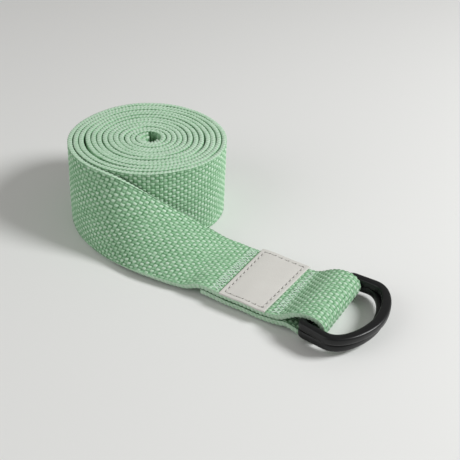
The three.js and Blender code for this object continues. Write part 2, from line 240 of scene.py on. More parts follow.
# Share of the way to the folded end, how far out from the roll's side, height, and the way
# across to the upper selvedge, as shares of the webbing's width and thickness.
LEAN_STATIONS = (
    (0.0714, 0.2513, 0.3125, (0.2026, 0.3053, 0.925)),
    (0.2937, 0.3618, 0.4167, (0.1579, 0.6079, 0.6947)),
    (0.5, 0.3987, 0.4792, (0.0868, 0.8316, 0.4671)),
    (0.7746, 0.3671, 0.5417, (0.0, 0.9605, 0.2395)),
    (0.8889, 0.3329, 0.5417, (-0.0079, 0.9763, 0.1553)),
    (0.9444, 0.3171, 1.0625, (-0.0079, 0.9842, 0.0961)),
)


def flare_stations(reach, height, rise):
    """A selvedge from the roll's side to the first leaning station, swinging out and up."""
    angle = np.arange(FLARE_START, FLARE_END + 1, FLARE_STEP)
    share = (angle - FLARE_START) / (FLARE_END - FLARE_START)
    radius = OUTER_RADIUS + FLARE_SLACK + reach * share ** 2
    rad = np.radians(angle)
    return np.stack([radius * np.cos(rad), radius * np.sin(rad), height + rise * share ** 2], 1)


def run_off(count):
    """The selvedges of the quarter turn, from upright at the roll to flat."""
    lower = [
        [along * FOLD_END_X, -ROLL_RADIUS - out * WEB_WIDTH, height * WEB_THICK]
        for along, out, height, _ in LEAN_STATIONS
    ]
    upper = [
        [a + b * WEB_WIDTH for a, b in zip(point, station[3])]
        for point, station in zip(lower, LEAN_STATIONS)
    ]
    low_y, high_y = TAIL_Y - WEB_WIDTH / 2, TAIL_Y + WEB_WIDTH / 2
    lower += [[FOLD_END_X, low_y - 0.4, TOP_PLY_Z], [RUN_OFF_END, low_y, TOP_PLY_Z]]
    upper += [
        [FOLD_END_X, high_y - 0.6, TOP_PLY_Z + WEB_THICK / 2], [RUN_OFF_END, high_y, TOP_PLY_Z]
    ]
    lower = np.vstack([flare_stations(reach=FLARE_REACH, height=0.05, rise=0.45), lower])
    upper = np.vstack([flare_stations(reach=0, height=WEB_WIDTH, rise=-0.2), upper])
    return curve_through(lower, count), curve_through(upper, count)


LOOP_SINK = 1.25              # how far the loop's top sinks between the bars' ends

# Points of the loop, along and up: from the panel's end on its surface, from the lower bar
# under the loop's top, and from the lower bar over the loop's underside.
LOOP_LEAVES = ((0.0, 0.45), (1.8, 1.0))
LOOP_CLIMBS = ((-5.6, -1.9), (-2.2, -0.55), (1.2, 0.0))
LOOP_RETURNS = ((-0.5, 0.0), (-5.0, 1.1))
LOOP_LANDS = 1.6


def loop_profile():
    """x and z of the loop round the rings' bars, over the top and back underneath."""
    lead = UPPER_BAR[0] - LOWER_BAR[0] - math.sin(UPPER_RING_YAW) * (WEB_WIDTH / 2 - PINCH)
    travel = math.hypot(lead, UPPER_BAR[1] - LOWER_BAR[1])
    over = LOWER_BAR[1] + travel + BAR_RADIUS + GAP + WEB_THICK / 2 - LOOP_SINK
    under = LOWER_BAR[1] - BAR_RADIUS - GAP - WEB_THICK / 2
    radius, middle = (over - under) / 2, (over + under) / 2
    start = PANEL_END + 2 * GAP
    nose = [
        [NOSE_X + radius * math.cos(math.radians(a)), middle + radius * math.sin(math.radians(a))]
        for a in (90, 45, 0, -45, -90)
    ]
    bar_x, lands = LOWER_BAR[0], start + LOOP_LANDS
    return [
        *([start + x, panel_z(start) + z] for x, z in LOOP_LEAVES),
        *([bar_x + x, over + z] for x, z in LOOP_CLIMBS),
        *nose,
        *([bar_x + x, under + z] for x, z in LOOP_RETURNS),
        [lands, under_ply_z(lands)],
        [start, under_ply_z(start)],
    ]


def flat_edges(profile, half_width):
    """Selvedges on both sides of the tail's middle line, along a profile of x and z."""
    profile = np.array(profile)
    half_width = np.broadcast_to(half_width, len(profile))
    sides = []
    for side in (-1, 1):
        y = TAIL_Y + side * half_width
        sides.append(np.stack([profile[:, 0], y, profile[:, 1]], 1))
    return sides


TURN_STEP = 2.0               # degrees between points of the roll
RUN_OFF_POINTS = 240
TOP_PLY_POINTS = 80
LOOP_POINTS = 240
UNDER_PLY_POINTS = 100
PINCH_REACH = 0.2             # share of the loop's length over which it narrows


def webbing_course():
    """Both selvedges and the belly of the whole length, and the length up to each point."""
    angles = np.arange(ROLL_START, LEAVE_ANGLE, TURN_STEP)
    parts = [(roll_edge(angles, 0.0), roll_edge(angles, WEB_WIDTH), 0)]
    lower, upper = run_off(RUN_OFF_POINTS)
    share = np.linspace(0, 1, len(lower))
    parts.append((lower, upper, RUN_OFF_BELLY * np.sin(np.pi * share) ** 2))
    top_x = np.linspace(RUN_OFF_END + 2 * GAP, PANEL_END, TOP_PLY_POINTS)
    top_z = np.where(top_x < PANEL_START, TOP_PLY_Z, panel_z(top_x))
    parts.append((*flat_edges(np.stack([top_x, top_z], 1), WEB_WIDTH / 2), 0))
    loop = curve_through([[x, 0, z] for x, z in loop_profile()], LOOP_POINTS)[:, [0, 2]]
    share = np.linspace(0, 1, len(loop))
    pinch = smooth_step(0.5 - np.abs(share - 0.5), 0, PINCH_REACH) * PINCH
    parts.append((*flat_edges(loop, WEB_WIDTH / 2 - pinch), 0))
    under_x = np.array([PANEL_END, TACK_X, LABEL_X, PANEL_START + 3, FOLD_END_X])
    under_z = np.append(under_ply_z(under_x[:-1]), WEB_THICK / 2)
    under = np.stack([under_x, 0 * under_x, under_z], 1)
    under = curve_through(under, UNDER_PLY_POINTS)[:, [0, 2]]
    parts.append((*flat_edges(under, WEB_WIDTH / 2), 0))

    lower = np.vstack([p[0] for p in parts])
    upper = np.vstack([p[1] for p in parts])
    belly = np.concatenate([np.broadcast_to(p[2], len(p[0])) for p in parts])
    upper[:, 2] += far_side_dip(upper[:, 0])
    tail = len(angles)
    lower[tail:, 2] += near_side_lift(lower[tail:, 0])
    middle = (lower + upper) / 2
    length = np.append(0, np.cumsum(np.linalg.norm(np.diff(middle, axis=0), axis=1)))
    starts = np.cumsum([0] + [len(p[0]) for p in parts])
    return even_course(np.hstack([lower, upper, belly[:, None]]), length), length, starts, angles


STEP = 0.25                   # between points of the whole course
SOFTEN = 1.2                  # over which kinks are eased


def even_course(values, length):
    """The course again at even steps, with the small kinks where stretches meet eased."""
    at = np.arange(0, length[-1], STEP)
    even = np.stack([np.interp(at, length, column) for column in values.T], 1)
    reach = int(3 * SOFTEN / STEP)
    weight = np.exp(-0.5 * (np.arange(-reach, reach + 1) * STEP / SOFTEN) ** 2)
    weight /= weight.sum()
    padded = np.vstack([even[:1].repeat(reach, 0), even, even[-1:].repeat(reach, 0)])
    eased = np.stack([np.convolve(column, weight, "valid") for column in padded.T], 1)
    return at, eased


COURSE, LENGTHS, STARTS, ANGLES = webbing_course()
OUTER_TURN_AT = float(np.interp(OUTER_TURN_START, ANGLES, LENGTHS[: len(ANGLES)]))
RUN_OFF_AT = float(LENGTHS[STARTS[1]])
LABEL_SPLIT_AT = float(LENGTHS[STARTS[2]] + LABEL_X - RUN_OFF_END)
TOTAL_LENGTH = float(LENGTHS[-1])


# ------------------------------------------------------------------ mesh helpers


def bent_grid(name, place, uv=None, relief=None, close_along=False):
    """A grid closed round its columns and bent to place[row, column], ends filled."""
    rows, columns = place.shape[0] - 1, place.shape[1] - 1
    bm = bmesh.new()
    bmesh.ops.create_grid(bm, x_segments=rows, y_segments=columns, size=0.5)
    mesh = bpy.data.meshes.new(name)
    bm.to_mesh(mesh)
    count = len(mesh.vertices)
    flat = np.zeros(count * 3, np.float32)
    mesh.vertices.foreach_get("co", flat)
    flat = flat.reshape(-1, 3)
    row = np.rint((flat[:, 0] + 0.5) * rows).astype(int)
    column = np.rint((flat[:, 1] + 0.5) * columns).astype(int)
    points = (place[row, column] + ORIGIN) * MM
    mesh.vertices.foreach_set("co", points.astype(np.float32).ravel())
    if uv is not None:
        corner = np.zeros(len(mesh.loops), np.int32)
        mesh.loops.foreach_get("vertex_index", corner)
        layer = mesh.uv_layers.new(name="cloth")
        layer.data.foreach_set("uv", uv[row, column][corner].astype(np.float32).ravel())
    if relief is not None:
        layer = mesh.attributes.new("relief", "FLOAT", "POINT")
        layer.data.foreach_set("value", relief[row, column].astype(np.float32))
    bm.free()
    bm = bmesh.new()
    bm.from_mesh(mesh)
    bmesh.ops.remove_doubles(bm, verts=bm.verts, dist=1e-7)
    ends = [edge for edge in bm.edges if edge.is_boundary]
    for face in bm.faces:
        face.smooth = True
    if ends and not close_along:
        for edge in ends:
            edge.smooth = False
        bmesh.ops.holes_fill(bm, edges=ends, sides=0)
    bmesh.ops.recalc_face_normals(bm, faces=bm.faces)
    bm.to_mesh(mesh)
    bm.free()
    return add_piece(name, mesh)


def add_piece(name, mesh):
    """A piece at the origin, unturned and unscaled."""
    piece = bpy.data.objects.new(name, mesh)
    bpy.context.scene.collection.objects.link(piece)
    return piece


def finish_piece(piece, finish, slot, body, *nodes):
    """Gives a piece its finish and seats it on the body whose nodes it stands for."""
    piece.data.materials.clear()
    piece.data.materials.append(finish)
    if nodes:
        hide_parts(*nodes)
    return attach(piece, body)


# ------------------------------------------------------------------ the woven strip

CELL_ALONG = 1.95
CELL_ACROSS = WEB_WIDTH / 25
CELL_NUDGE = 1e-6             # so that a point on a cell's border falls on one side of it
CELL_GAP = 0.24               # share of a cell over which its border falls away
PLUMPNESS = 0.1               # how much yarns differ in height
CROWN_ROUND = 0.4             # the larger, the flatter the crowns
CROWN_BORDER = 0.62           # height of a crown's border, as a share of the crown
FILLER_HEIGHT = 0.5           # of the yarns that cross underneath
FILLER_ROUND = 2.6            # the larger, the rounder they are
YARN_LIFT = 0.46
PLY_CORE = 1.6                # thickness under the yarns that stand out
EDGE_CORE = 1.02              # half thickness of a selvedge
EDGE_BEAD = 0.2               # and of the beads along it
EDGE_SWELL = 0.13             # and where it swells against the next turn
BEAD_LENGTHEN = 0.34          # how far the beads stand out sideways
BEAD_MEAN = 0.6
SELVEDGE_FROM = (18.1, 18.7)  # across, where the face turns into the selvedge
RIM_FROM = (0.8, 0.97)        # share of the thickness, where the selvedge's rims are

# Round a selvedge from the front face to the back: places across, and share of thickness.
SELVEDGE_ACROSS = np.array([18.72, 18.98, 18.94, 18.98, 18.72])
SELVEDGE_SIDE = np.array([0.99, 0.8, 0.0, -0.8, -0.99])

# Points per yarn along the webbing, and columns across a face.
CLOSE_WEAVE = (5, 125)
ROLLED_WEAVE = (4, 10)
SMOOTH_BACK = 10              # columns across a back face that can't be seen
WOVEN_BACK = 125

UV_UNIT = 10                  # the cloth's map is in centimetres
BACK_FACE_UV = 100            # and the back face lies this far from the front on it


def yarn_relief(u, v, face):
    """Height from 0 to 1 of the yarns that show on a face, at u along and v across."""
    row = v / CELL_ACROSS + 0.5 * WEB_WIDTH / CELL_ACROSS
    column = u / CELL_ALONG
    plump = 1 + PLUMPNESS * np.sin(np.floor(row) * 3.7 + np.floor(column) * 2.9)
    row, column = row + CELL_NUDGE, column + CELL_NUDGE
    cell = np.floor(column) + np.floor(row) + (face < 0)
    x, y = column % 1 - 0.5, row % 1 - 0.5
    seam = np.minimum(*(smooth_step(0.5 - np.abs(place), 0, CELL_GAP) for place in (x, y)))
    crown = np.clip(1 - (x * x + 0.9 * y * y) / CROWN_ROUND, 0, 1) ** 0.5
    crown = crown * (CROWN_BORDER + (1 - CROWN_BORDER) * seam)
    filler = FILLER_HEIGHT * np.clip(1 - FILLER_ROUND * (x * x + y * y), 0, 1) ** 0.5 * seam
    return np.where(cell % 2 < 0.5, crown * plump, filler)


def weave_heights(u, v, across, side):
    """Relief from 0 to 1, half thickness, and how far the selvedge's beads stand out."""
    on_face, side, across = (np.abs(side) == 1)[None], side[None], across[None]
    relief = np.where(on_face, yarn_relief(u, v, np.sign(side)), 0)
    beads = np.abs(np.sin(np.pi * (u / CELL_ALONG + 0.25 * np.sign(side)))) ** 0.8
    speck = 0.5 + 0.5 * wander(u * 2.9 + 3 * side, 1.9)
    swell = smooth_step(wander(u * 0.17 + side, 3.3), -0.2, 0.6)
    near = smooth_step(np.abs(across), *SELVEDGE_FROM)
    rim = smooth_step(np.abs(side), *RIM_FROM)
    # On the selvedges the relief only sets colour and bump. The band along the middle is painted
    # pale, partly its own tone and partly painted highlight. The rims are painted dark as painted
    # shade in the crease between turns, less so where a turn swells against the next.
    band_relief = 0.5 + 0.36 * beads + 0.2 * speck
    rim_relief = 0.6 * beads * speck * (1 - swell) + (0.35 + 0.45 * speck) * swell
    relief = relief * (1 - near) + (band_relief * (1 - rim) + rim_relief * rim) * near
    edge_half = EDGE_CORE + EDGE_SWELL * swell + EDGE_BEAD * beads
    half = np.where(on_face, PLY_CORE / 2 + relief * YARN_LIFT, edge_half)
    at_edge = np.where(np.abs(across) > SELVEDGE_FROM[1], np.sign(across), 0)
    return relief, half, at_edge * (beads - BEAD_MEAN) * BEAD_LENGTHEN


def cross_section(front, back):
    """Places across and faces round a section of webbing, closed, lower selvedge first."""
    fronts, backs = (
        np.linspace(-WEB_WIDTH / 2, WEB_WIDTH / 2, count + 1)[1:-1] for count in (front, back)
    )
    across = np.concatenate(
        [fronts, SELVEDGE_ACROSS, backs[::-1], -SELVEDGE_ACROSS[::-1], fronts[:1]]
    )
    side = np.concatenate(
        [np.ones(len(fronts)), SELVEDGE_SIDE, -np.ones(len(backs)), SELVEDGE_SIDE[::-1], [1.0]]
    )
    return across, side


def unit(vectors):
    """The vectors of a grid, each with a length of 1."""
    return vectors / np.linalg.norm(vectors, axis=2, keepdims=True)


def woven_strip(name, start, end, weave, back, course=COURSE):
    """A stretch of webbing from start to end, with its yarns raised on both faces."""
    per_cell, front = weave
    at, values = course
    cells = int(at[-1] / CELL_ALONG)
    first, last = round(start / CELL_ALONG), min(round(end / CELL_ALONG), cells)
    u = np.arange(first * per_cell, last * per_cell + 1) * CELL_ALONG / per_cell
    columns = [np.interp(u, at, column) for column in values.T]
    lower, upper, belly = np.stack(columns[:3], 1), np.stack(columns[3:6], 1), columns[6]
    along_low, along_up = np.gradient(lower, axis=0), np.gradient(upper, axis=0)
    across, side = cross_section(front, back)

    t = (across / WEB_WIDTH + 0.5)[None, :, None]
    ways = unit(along_low[:, None] * (1 - t) + along_up[:, None] * t)
    width = (upper - lower)[:, None] * np.ones_like(t)
    normal, chord = unit(np.cross(ways, width)), unit(width)

    uu, vv = np.meshgrid(u, across, indexing="ij")
    relief, half, outward = weave_heights(uu, vv, across, side)
    curve = belly[:, None] * 4 * t[..., 0] * (1 - t[..., 0])
    place = lower[:, None] * (1 - t) + upper[:, None] * t
    place = place + normal * (curve + side[None] * half)[..., None] + chord * outward[..., None]
    uv = np.stack([uu, vv + BACK_FACE_UV * (side[None] < 0)], 2) / UV_UNIT
    return bent_grid(name, place, uv, relief)


# ------------------------------------------------------------------ shading


class Signal:
    """A number that varies over a surface. Arithmetic on it adds Math nodes."""

    def __init__(self, finish, socket):
        self.finish = finish
        self.socket = socket

    def _math(self, operation, first, second):
        return self.finish.node("ShaderNodeMath", {"operation": operation}, [first, second])

    def __add__(self, other):
        return self._math("ADD", self, other)

    __radd__ = __add__

    def __mul__(self, other):
        return self._math("MULTIPLY", self, other)

    __rmul__ = __mul__

    def __sub__(self, other):
        return self._math("SUBTRACT", self, other)

    def __rsub__(self, other):
        return self._math("SUBTRACT", other, self)

    def __pow__(self, other):
        return self._math("POWER", self, other)


class Finish:
    """A material under construction."""

    def __init__(self, name):
        self.material = bpy.data.materials.new(name)
        self.material.use_nodes = True
        self.tree = self.material.node_tree
        self.shader = self.tree.nodes["Principled BSDF"]

    def link(self, value, socket):
        if isinstance(value, Signal):
            self.tree.links.new(value.socket, socket)
        elif isinstance(value, tuple) and len(value) == 3 and socket.type == "RGBA":
            socket.default_value = (*value, 1)
        else:
            socket.default_value = value

    def node(self, kind, settings=None, inputs=(), output=0):
        made = self.tree.nodes.new(kind)
        for key, value in (settings or {}).items():
            if key == "stops":
                for index, (place, colour) in enumerate(value):
                    ramp = made.color_ramp
                    stop = ramp.elements[index] if index < 2 else ramp.elements.new(place)
                    stop.position = place
                    stop.color = (*colour, 1)
            else:
                setattr(made, key, value)
        pairs = inputs.items() if isinstance(inputs, dict) else enumerate(inputs)
        for key, value in pairs:
            self.link(value, made.inputs[key])
        return Signal(self, made.outputs[output])

    def mix(self, factor, first, second):
        return self.node(
            "ShaderNodeMix",
            {"data_type": "RGBA", "clamp_factor": True},
            {0: factor, 6: first, 7: second},
            2,
        )

    def noise(self, coordinates, scale, detail=2.0, rough=0.5):
        return self.node(
            "ShaderNodeTexNoise", {},
            {"Vector": coordinates, "Scale": scale, "Detail": detail, "Roughness": rough},
        )

    def object_place(self):
        return self.node("ShaderNodeTexCoord", {}, (), 3)

    def bump(self, height, strength, distance):
        return self.node(
            "ShaderNodeBump", {}, {"Strength": strength, "Distance": distance, "Height": height}
        )

    def set(self, **sockets):
        for name, value in sockets.items():
            self.link(value, self.shader.inputs[name.replace("_", " ")])
        return self.material


def cotton_finish(colours):
    """Woven cotton: pale yarn crowns lightened as painted highlight, gaps darkened as painted
    shade, fine twisted fibres.
    """
    finish = Finish("woven_cotton")
    place = finish.object_place()
    relief = finish.node("ShaderNodeAttribute", {"attribute_name": "relief"}, (), 2)
    cloth = finish.node("ShaderNodeUVMap", {"uv_map": "cloth"})
    fibre = finish.noise(cloth, 26.0, 3.0, 0.6)
    fleck = finish.noise(place, 900.0, 2.0, 0.6)
    cloud = finish.noise(place, 28.0, 2.0)
    # The yarns' height sets the colour. The gaps are painted dark as painted shade, and the crowns
    # are painted pale, partly their own tone and partly painted highlight.
    level = relief * 1.05 + fibre * 0.3 + fleck * 0.55 - 0.49
    tone = finish.node(
        "ShaderNodeValToRGB",
        {"stops": (
            (0.0, tuple(colours.gap)), (1.0, tuple(colours.crown)), (0.48, tuple(colours.yarn)),
        )},
        {0: level},
    )
    tone = finish.mix(cloud * 0.5, tone, tuple(0.86 * c for c in colours.yarn))
    tone = finish.mix(fleck ** 3.0 * 0.9, tone, tuple(colours.crown))
    height = fibre * 0.7 + fleck * 0.6 + relief * 0.4
    return finish.set(
        Base_Color=tone,
        Roughness=0.93,
        Sheen_Weight=0.1,
        Sheen_Roughness=0.45,
        Specular_IOR_Level=0.2,
        Normal=finish.bump(height, 0.65, 0.0003),
    )


def thread_finish(name, colour, dark):
    """Sewing thread: a fine twist and a little sheen."""
    finish = Finish(name)
    place = finish.object_place()
    fine = finish.noise(place, 2600.0, 2.0)
    tone = finish.mix(fine * 0.9, dark, colour)
    return finish.set(
        Base_Color=tone, Roughness=0.8, Sheen_Weight=0.25, Normal=finish.bump(fine, 0.6, 0.0002)
    )


def label_finish(colours):
    """Pale grey synthetic leather with a fine pebble grain."""
    finish = Finish("label_leather")
    place = finish.object_place()
    grain = finish.node(
        "ShaderNodeTexVoronoi", {"feature": "SMOOTH_F1"}, {"Vector": place, "Scale": 1900.0}
    )
    cloud = finish.noise(place, 90.0, 3.0)
    streak = finish.noise(place, 420.0, 3.0, 0.6)
    pale, shade = tuple(colours.label), tuple(0.82 * c for c in colours.label)
    tone = finish.mix(cloud * 0.6 + streak * 0.25, pale, shade)
    return finish.set(
        Base_Color=tone,
        Roughness=0.62 + cloud * 0.12,
        Normal=finish.bump(grain * 0.6 + streak * 0.5, 0.35, 0.0002),
    )


def ring_finish(colours):
    """Moulded black nylon, satin, with faint flow marks and scuffs."""
    finish = Finish("moulded_nylon")
    place = finish.object_place()
    fine = finish.noise(place, 1500.0, 3.0, 0.6)
    scuff = finish.noise(place, 160.0, 4.0, 0.65)
    tone = finish.mix(scuff * 0.7, tuple(colours.ring), tuple(1.9 * c for c in colours.ring))
    return finish.set(
        Base_Color=tone,
        Roughness=0.27 + scuff * 0.14,
        Specular_IOR_Level=0.36,
        Normal=finish.bump(fine, 0.12, 0.0002),
    )


def plain_finish(name, colour, roughness):
    """One slightly mottled colour."""
    finish = Finish(name)
    mottle = finish.noise(finish.object_place(), 300.0)
    tone = finish.mix(mottle * 0.3, colour, tuple(0.8 * c for c in colour))
    return finish.set(Base_Color=tone, Roughness=roughness)


def made_once(name, make):
    """A finish by name, made the first time that it is asked for."""
    return bpy.data.materials.get(name) or make()


# ------------------------------------------------------------------ settings


class StrapColours(bpy.types.PropertyGroup):
    """Colours of the strap's materials, linear."""

    # The yarn's own pale tone on the crowns, made paler still as painted highlight.
    crown: FloatVectorProperty(
        name="Yarn crowns", description="Tops of the webbing's yarns",
        subtype="COLOR", size=3, default=(0.68, 0.81, 0.69),
    )
    yarn: FloatVectorProperty(
        name="Yarn", description="Sides of the webbing's yarns",
        subtype="COLOR", size=3, default=(0.275, 0.555, 0.305),
    )
    # Painted shade: the dark green given to the depths between the yarns.
    gap: FloatVectorProperty(
        name="Gaps", description="Depths between the yarns",
        subtype="COLOR", size=3, default=(0.024, 0.125, 0.038),
    )
    label: FloatVectorProperty(
        name="Label", description="Synthetic leather of the label",
        subtype="COLOR", size=3, default=(0.70, 0.68, 0.645),
    )
    stitch: FloatVectorProperty(
        name="Label thread", description="Thread that sews the label",
        subtype="COLOR", size=3, default=(0.78, 0.76, 0.72),
    )
    ring: FloatVectorProperty(
        name="Rings", description="Moulded plastic of the D-rings",
        subtype="COLOR", size=3, default=(0.0045, 0.005, 0.0054),
    )
    floor: FloatVectorProperty(
        name="Floor", description="Floor that the strap stands on",
        subtype="COLOR", size=3, default=(0.80, 0.80, 0.79),
    )


class StrapSizes(bpy.types.PropertyGroup):
    """Sizes of the pieces that are sewn or moulded on."""

    label_along: FloatProperty(
        name="Label length", description="Size of the label along the webbing",
        default=0.0227, unit="LENGTH", subtype="DISTANCE",
    )
    label_across: FloatProperty(
        name="Label width", description="Size of the label across the webbing",
        default=0.0399, unit="LENGTH", subtype="DISTANCE",
    )
    label_thick: FloatProperty(
        name="Label thickness", description="Thickness of the label",
        default=0.0009, unit="LENGTH", subtype="DISTANCE",
    )
    stitch_inset: FloatProperty(
        name="Stitch inset", description="From the label's edge to its stitching",
        default=0.0021, unit="LENGTH", subtype="DISTANCE",
    )
    camera_lens: FloatProperty(
        name="Lens", description="Focal length of the camera", default=65.1,
        unit="CAMERA", subtype="NONE",
    )


# ------------------------------------------------------------------ webbing operators

SEAM_DULLNESS = 0.78


def cotton(context):
    """The webbing's one finish."""
    return made_once("woven_cotton", lambda: cotton_finish(context.scene.strap_colours))


class STRAP_OT_rolled_webbing(bpy.types.Operator):
    """The inner turns of the roll"""

    bl_idname = "strap.rolled_webbing"
    bl_label = "Rolled webbing"

    def execute(self, context):
        inner = woven_strip("rolled_webbing", 0, OUTER_TURN_AT, ROLLED_WEAVE, SMOOTH_BACK)
        finish_piece(inner, cotton(context), "webbing", "strap", "webbing_roll")
        return {"FINISHED"}


class STRAP_OT_hem(bpy.types.Operator):
    """The doubled end of the webbing in the roll's core, and its stitches"""

    bl_idname = "strap.hem"
    bl_label = "Hem"

    def execute(self, context):
        angles = np.arange(ROLL_START, ROLL_START + HEM_SPAN, TURN_STEP)
        inset = PLY_RISE - HEM_TIGHT
        lower = roll_edge(angles, 0.0, inset)
        upper = roll_edge(angles, WEB_WIDTH - HEM_RECESS, inset)
        length = np.append(0, np.cumsum(np.linalg.norm(np.diff(lower, axis=0), axis=1)))
        values = np.hstack([lower, upper, np.zeros((len(angles), 1))])
        course = (length, values)
        hem = woven_strip("hem_ply", 0, length[-1], ROLLED_WEAVE, SMOOTH_BACK, course)
        finish_piece(hem, cotton(context), "webbing", "strap", "webbing_hem")

        middle = ROLL_START + HEM_SPAN / 2
        face = inset + WEB_THICK / 2 - STITCH_SET
        at = roll_edge(np.array([middle]), 0.0, face)[0]
        bm = bmesh.new()
        for k in range(HEM_STITCHES):
            place = Vector((at[0], at[1], HEM_FIRST_STITCH + HEM_STITCH_PITCH * k))
            stitch(bm, place, Vector((0, 0, 1)), *HEM_STITCH)
        piece = stitched_piece("hem_stitches", bm)
        finish_piece(piece, seam_thread(context), "seam_thread", "strap", "hem_seam_thread")
        return {"FINISHED"}


class STRAP_OT_outer_webbing(bpy.types.Operator):
    """The outer turn, the quarter turn to the floor, and the flat tail up to the label"""

    bl_idname = "strap.outer_webbing"
    bl_label = "Outer turn and tail"

    def execute(self, context):
        outer = woven_strip("outer_turn", OUTER_TURN_AT, RUN_OFF_AT, CLOSE_WEAVE, SMOOTH_BACK)
        finish_piece(outer, cotton(context), "webbing", "strap")
        start, end = RUN_OFF_AT, LABEL_SPLIT_AT
        tail = woven_strip("tail_webbing", start, end, CLOSE_WEAVE, WOVEN_BACK)
        finish_piece(
            tail, cotton(context), "webbing", "strap", "webbing_run_off", "webbing_top_ply"
        )
        return {"FINISHED"}


class STRAP_OT_loop_webbing(bpy.types.Operator):
    """The loop round the rings' bars and the ply folded back underneath"""

    bl_idname = "strap.loop_webbing"
    bl_label = "Ring loop"

    def execute(self, context):
        start, end = LABEL_SPLIT_AT, TOTAL_LENGTH
        loop = woven_strip("loop_webbing", start, end, CLOSE_WEAVE, WOVEN_BACK)
        finish_piece(
            loop, cotton(context), "webbing", "strap", "webbing_ring_loop", "webbing_under_ply"
        )
        return {"FINISHED"}


# ------------------------------------------------------------------ stitches and label


def seam_thread(context):
    """The seams' one finish, a shade duller than the yarn's crowns."""
    colours = context.scene.strap_colours
    crown, yarn = tuple(SEAM_DULLNESS * c for c in colours.crown), tuple(colours.yarn)
    return made_once("seam_thread", lambda: thread_finish("seam_thread", crown, yarn))


def stitch(bm, place, way, length, half_width, half_height, up=Vector((0, 0, 1))):
    """One stitch: a grain of thread that lies along way."""
    way = way.normalized()
    side = up.cross(way)
    side = side.normalized() if side.length > 1e-6 else Vector((0, 1, 0))
    top = way.cross(side)
    turn = Matrix((way, side, top)).transposed().to_4x4()
    size = Matrix.Diagonal((length / 2, half_width, half_height, 1))
    place = Vector(place) + Vector(ORIGIN)
    bmesh.ops.create_uvsphere(
        bm, u_segments=10, v_segments=6, radius=1,
        matrix=Matrix.Scale(MM, 4) @ Matrix.Translation(place) @ turn @ size
        @ Matrix.Rotation(math.pi / 2, 4, "Y"),
    )


def stitched_piece(name, bm):
    """A smooth-shaded piece from a finished bmesh, which is used up."""
    for face in bm.faces:
        face.smooth = True
    mesh = bpy.data.meshes.new(name)
    bm.to_mesh(mesh)
    bm.free()
    return add_piece(name, mesh)


PANEL_UP = Vector((-PANEL_SLOPE, 0, 1)).normalized()
PANEL_WAY = Vector((1, 0, PANEL_SLOPE)).normalized()
PANEL_SINK = 0.12             # how far sewn things sink into the webbing's top face
LABEL_STRETCH = (-4, 11)      # along the label, where its ring end is pulled out
LABEL_HALF = 20               # half of the label's width, about


def on_panel(along, across, above):
    """A point on the sloping panel, from the label's middle on the webbing's top face."""
    base = Vector((LABEL_X, TAIL_Y, panel_z(LABEL_X)))
    base += PANEL_UP * (WEB_THICK / 2 - PANEL_SINK)
    share = across / WEB_WIDTH + 0.5
    dip = float(far_side_dip(LABEL_X + along)) * share
    dip += float(near_side_lift(LABEL_X + along)) * (1 - share)
    along += float(smooth_step(along, *LABEL_STRETCH)) * (across / LABEL_HALF + 1)
    return base + PANEL_WAY * along + Vector((0, across, dip)) + PANEL_UP * above


SEAM_STITCHES = 29
SEAM_MARGIN = 1.2
SEAM_HALF_STITCH = (0.27, 0.2)
SEAM_LAP = 1.15               # length of a stitch, as a share of half the seam's width
SEAM_SLANT = 0.42
SEAM_ABOVE = 0.02
SEAMS = (
    ("loop_seam_stitches", "loop_seam_thread", TACK_X, 2.1),
    ("fold_seam_stitches", "fold_end_seam_thread", FOLD_SEAM_X, 2.2),
)


class STRAP_OT_seams(bpy.types.Operator):
    """The zigzag seams on both sides of the label"""

    bl_idname = "strap.seams"
    bl_label = "Seams"

    def execute(self, context):
        pitch = (WEB_WIDTH - 2 * SEAM_MARGIN) / SEAM_STITCHES
        for name, node, x, swing in SEAMS:
            bm = bmesh.new()
            for k in range(SEAM_STITCHES):
                across = (k + 0.5 - SEAM_STITCHES / 2) * pitch
                slant = SEAM_SLANT if k % 2 else -SEAM_SLANT
                for part in (-1, 1):
                    centre = on_panel(x - LABEL_X + part * swing / 2, across, SEAM_ABOVE)
                    if x < PANEL_START:
                        centre.z += TOP_PLY_Z - panel_z(x)
                    way = Vector((1, slant * part, PANEL_SLOPE * (x > PANEL_START)))
                    stitch(bm, centre, way, swing * SEAM_LAP, *SEAM_HALF_STITCH)
            piece = stitched_piece(name, bm)
            finish_piece(piece, seam_thread(context), "seam_thread", "strap", node)
        return {"FINISHED"}


STITCH_DENT = (-0.13, 0.55)   # depth of the label under its stitching, and half its width
LABEL_CROWN = (0.10, 3)       # how much the label's middle stands up, and over what width
LABEL_SOFT_EDGE = (-0.10, 0.5)
LABEL_BEVEL = 0.12
LABEL_GRID = (70, 120)
LABEL_STITCHES = (6, 11)      # along the short sides and the long sides
LABEL_STITCH_SHARE = 0.66
LABEL_HALF_STITCH = (0.36, 0.26)
LABEL_THREAD_SINK = 0.02
NEEDLE_HOLE = (0.56, 0.27, 0.07)
NEEDLE_HOLE_SHARE = 0.39
NEEDLE_HOLE_SINK = 0.04
# Painted shade: a near-black that stands for the shadow inside each needle hole.
NEEDLE_HOLE_SHADE = (0.07, 0.06, 0.055)


